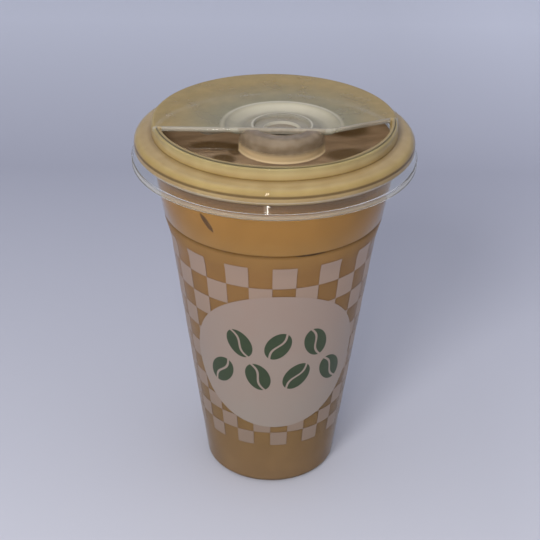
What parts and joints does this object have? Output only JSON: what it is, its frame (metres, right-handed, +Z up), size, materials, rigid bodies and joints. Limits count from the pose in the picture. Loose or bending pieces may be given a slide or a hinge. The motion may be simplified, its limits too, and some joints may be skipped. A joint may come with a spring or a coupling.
{
  "type": "iced caramel macchiato in a lidded clear cup",
  "caption": "Iced milky coffee in a clear tapered takeaway cup with a white checked print, under a clear press-on sip lid with a raised half disc.",
  "frame": {"origin": "centre of the cup's foot, on the ground", "axes": "+Z up the cup's axis, -Y out of the front where the lid's recess lies, +X to the right"},
  "size_m": [0.104, 0.104, 0.1467],
  "materials": {
    "cup": "clear smooth plastic",
    "drink": "opaque milky coffee",
    "lid": "clear smooth plastic"
  },
  "bodies": {
    "root": {"cup": "cup", "drink": "drink", "lid": "lid"}
  },
  "joints": []
}
